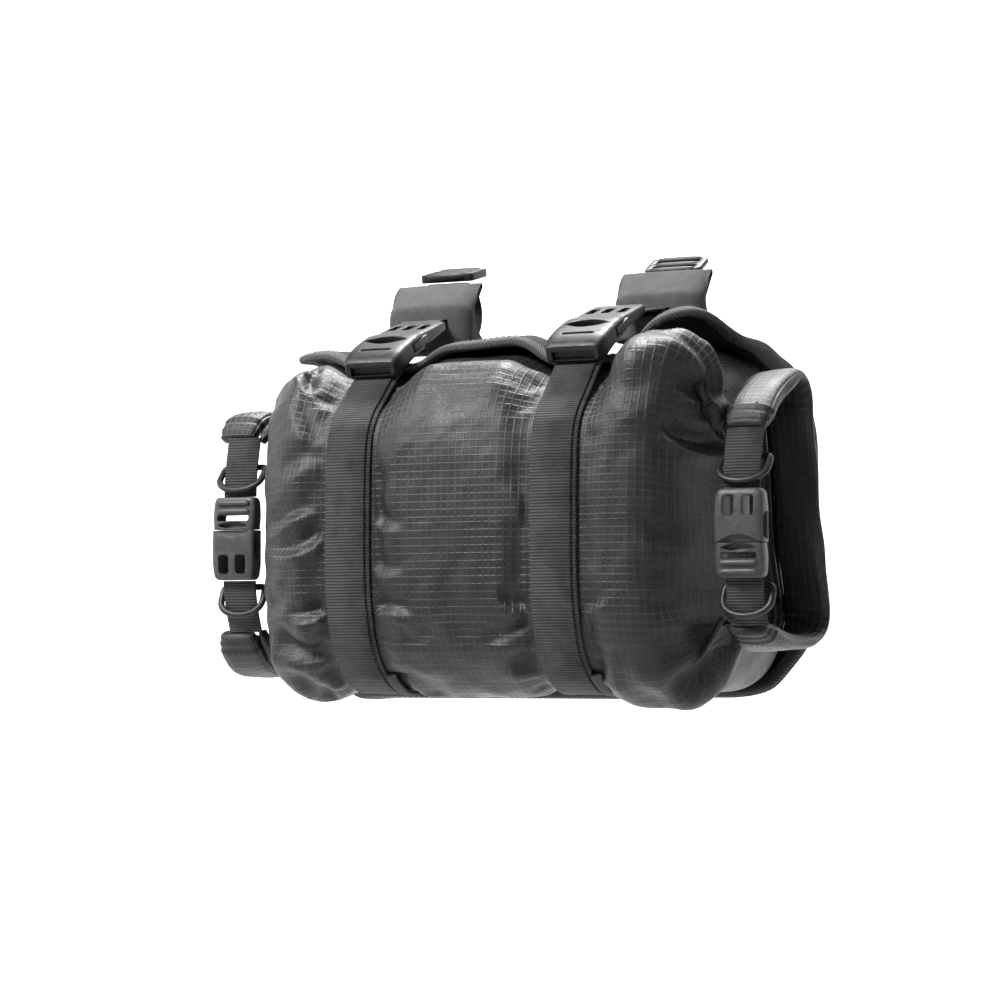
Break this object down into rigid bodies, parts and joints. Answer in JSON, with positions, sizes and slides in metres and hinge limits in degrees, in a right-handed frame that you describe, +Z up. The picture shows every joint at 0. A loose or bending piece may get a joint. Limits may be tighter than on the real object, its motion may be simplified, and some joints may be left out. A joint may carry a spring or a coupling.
{
  "type": "bicycle handlebar bag",
  "caption": "Roll-closed cloth bag in a padded harness, held under a bicycle handlebar by webbing bar straps and foam spacers, with side-release buckles.",
  "frame": {"origin": "on the axis of the handlebar, midway between the two bar straps at the stem", "axes": "+X along the bar towards the right of the picture, -Y towards the bag's front, +Z up"},
  "size_m": [0.3436, 0.1924, 0.2527],
  "materials": {
    "coated_cloth": "dark grey coated ripstop cloth",
    "padded_cloth": "black padded cloth panel",
    "binding_tape": "black twill binding tape",
    "webbing": "black ribbed webbing",
    "foam": "matt dark grey closed-cell foam",
    "moulded_plastic": "black moulded plastic, satin"
  },
  "bodies": {
    "root": {"bag_body": "coated_cloth", "roll_left": "coated_cloth", "roll_right": "coated_cloth", "harness_panel": "padded_cloth", "harness_binding": "binding_tape", "strap_left": "webbing", "strap_right": "webbing", "strap_tab_left": "webbing", "strap_tab_right": "webbing", "bar_strap_left": "webbing", "bar_strap_right": "webbing", "closure_webbing_upper_left": "webbing", "closure_webbing_upper_right": "webbing", "closure_webbing_lower_left": "webbing", "closure_webbing_lower_right": "webbing", "foam_spacer_left": "foam", "foam_spacer_right": "foam", "top_buckle_left_front": "moulded_plastic", "top_buckle_left_rear": "moulded_plastic", "top_buckle_right_front": "moulded_plastic", "top_buckle_right_rear": "moulded_plastic", "closure_socket_left": "moulded_plastic", "closure_socket_right": "moulded_plastic", "closure_plug_left": "moulded_plastic", "closure_plug_right": "moulded_plastic", "d_ring_upper_left": "moulded_plastic", "d_ring_upper_right": "moulded_plastic", "d_ring_lower_left": "moulded_plastic", "d_ring_lower_right": "moulded_plastic", "ladder_lock_left": "moulded_plastic", "ladder_lock_right": "moulded_plastic"}
  },
  "joints": []
}
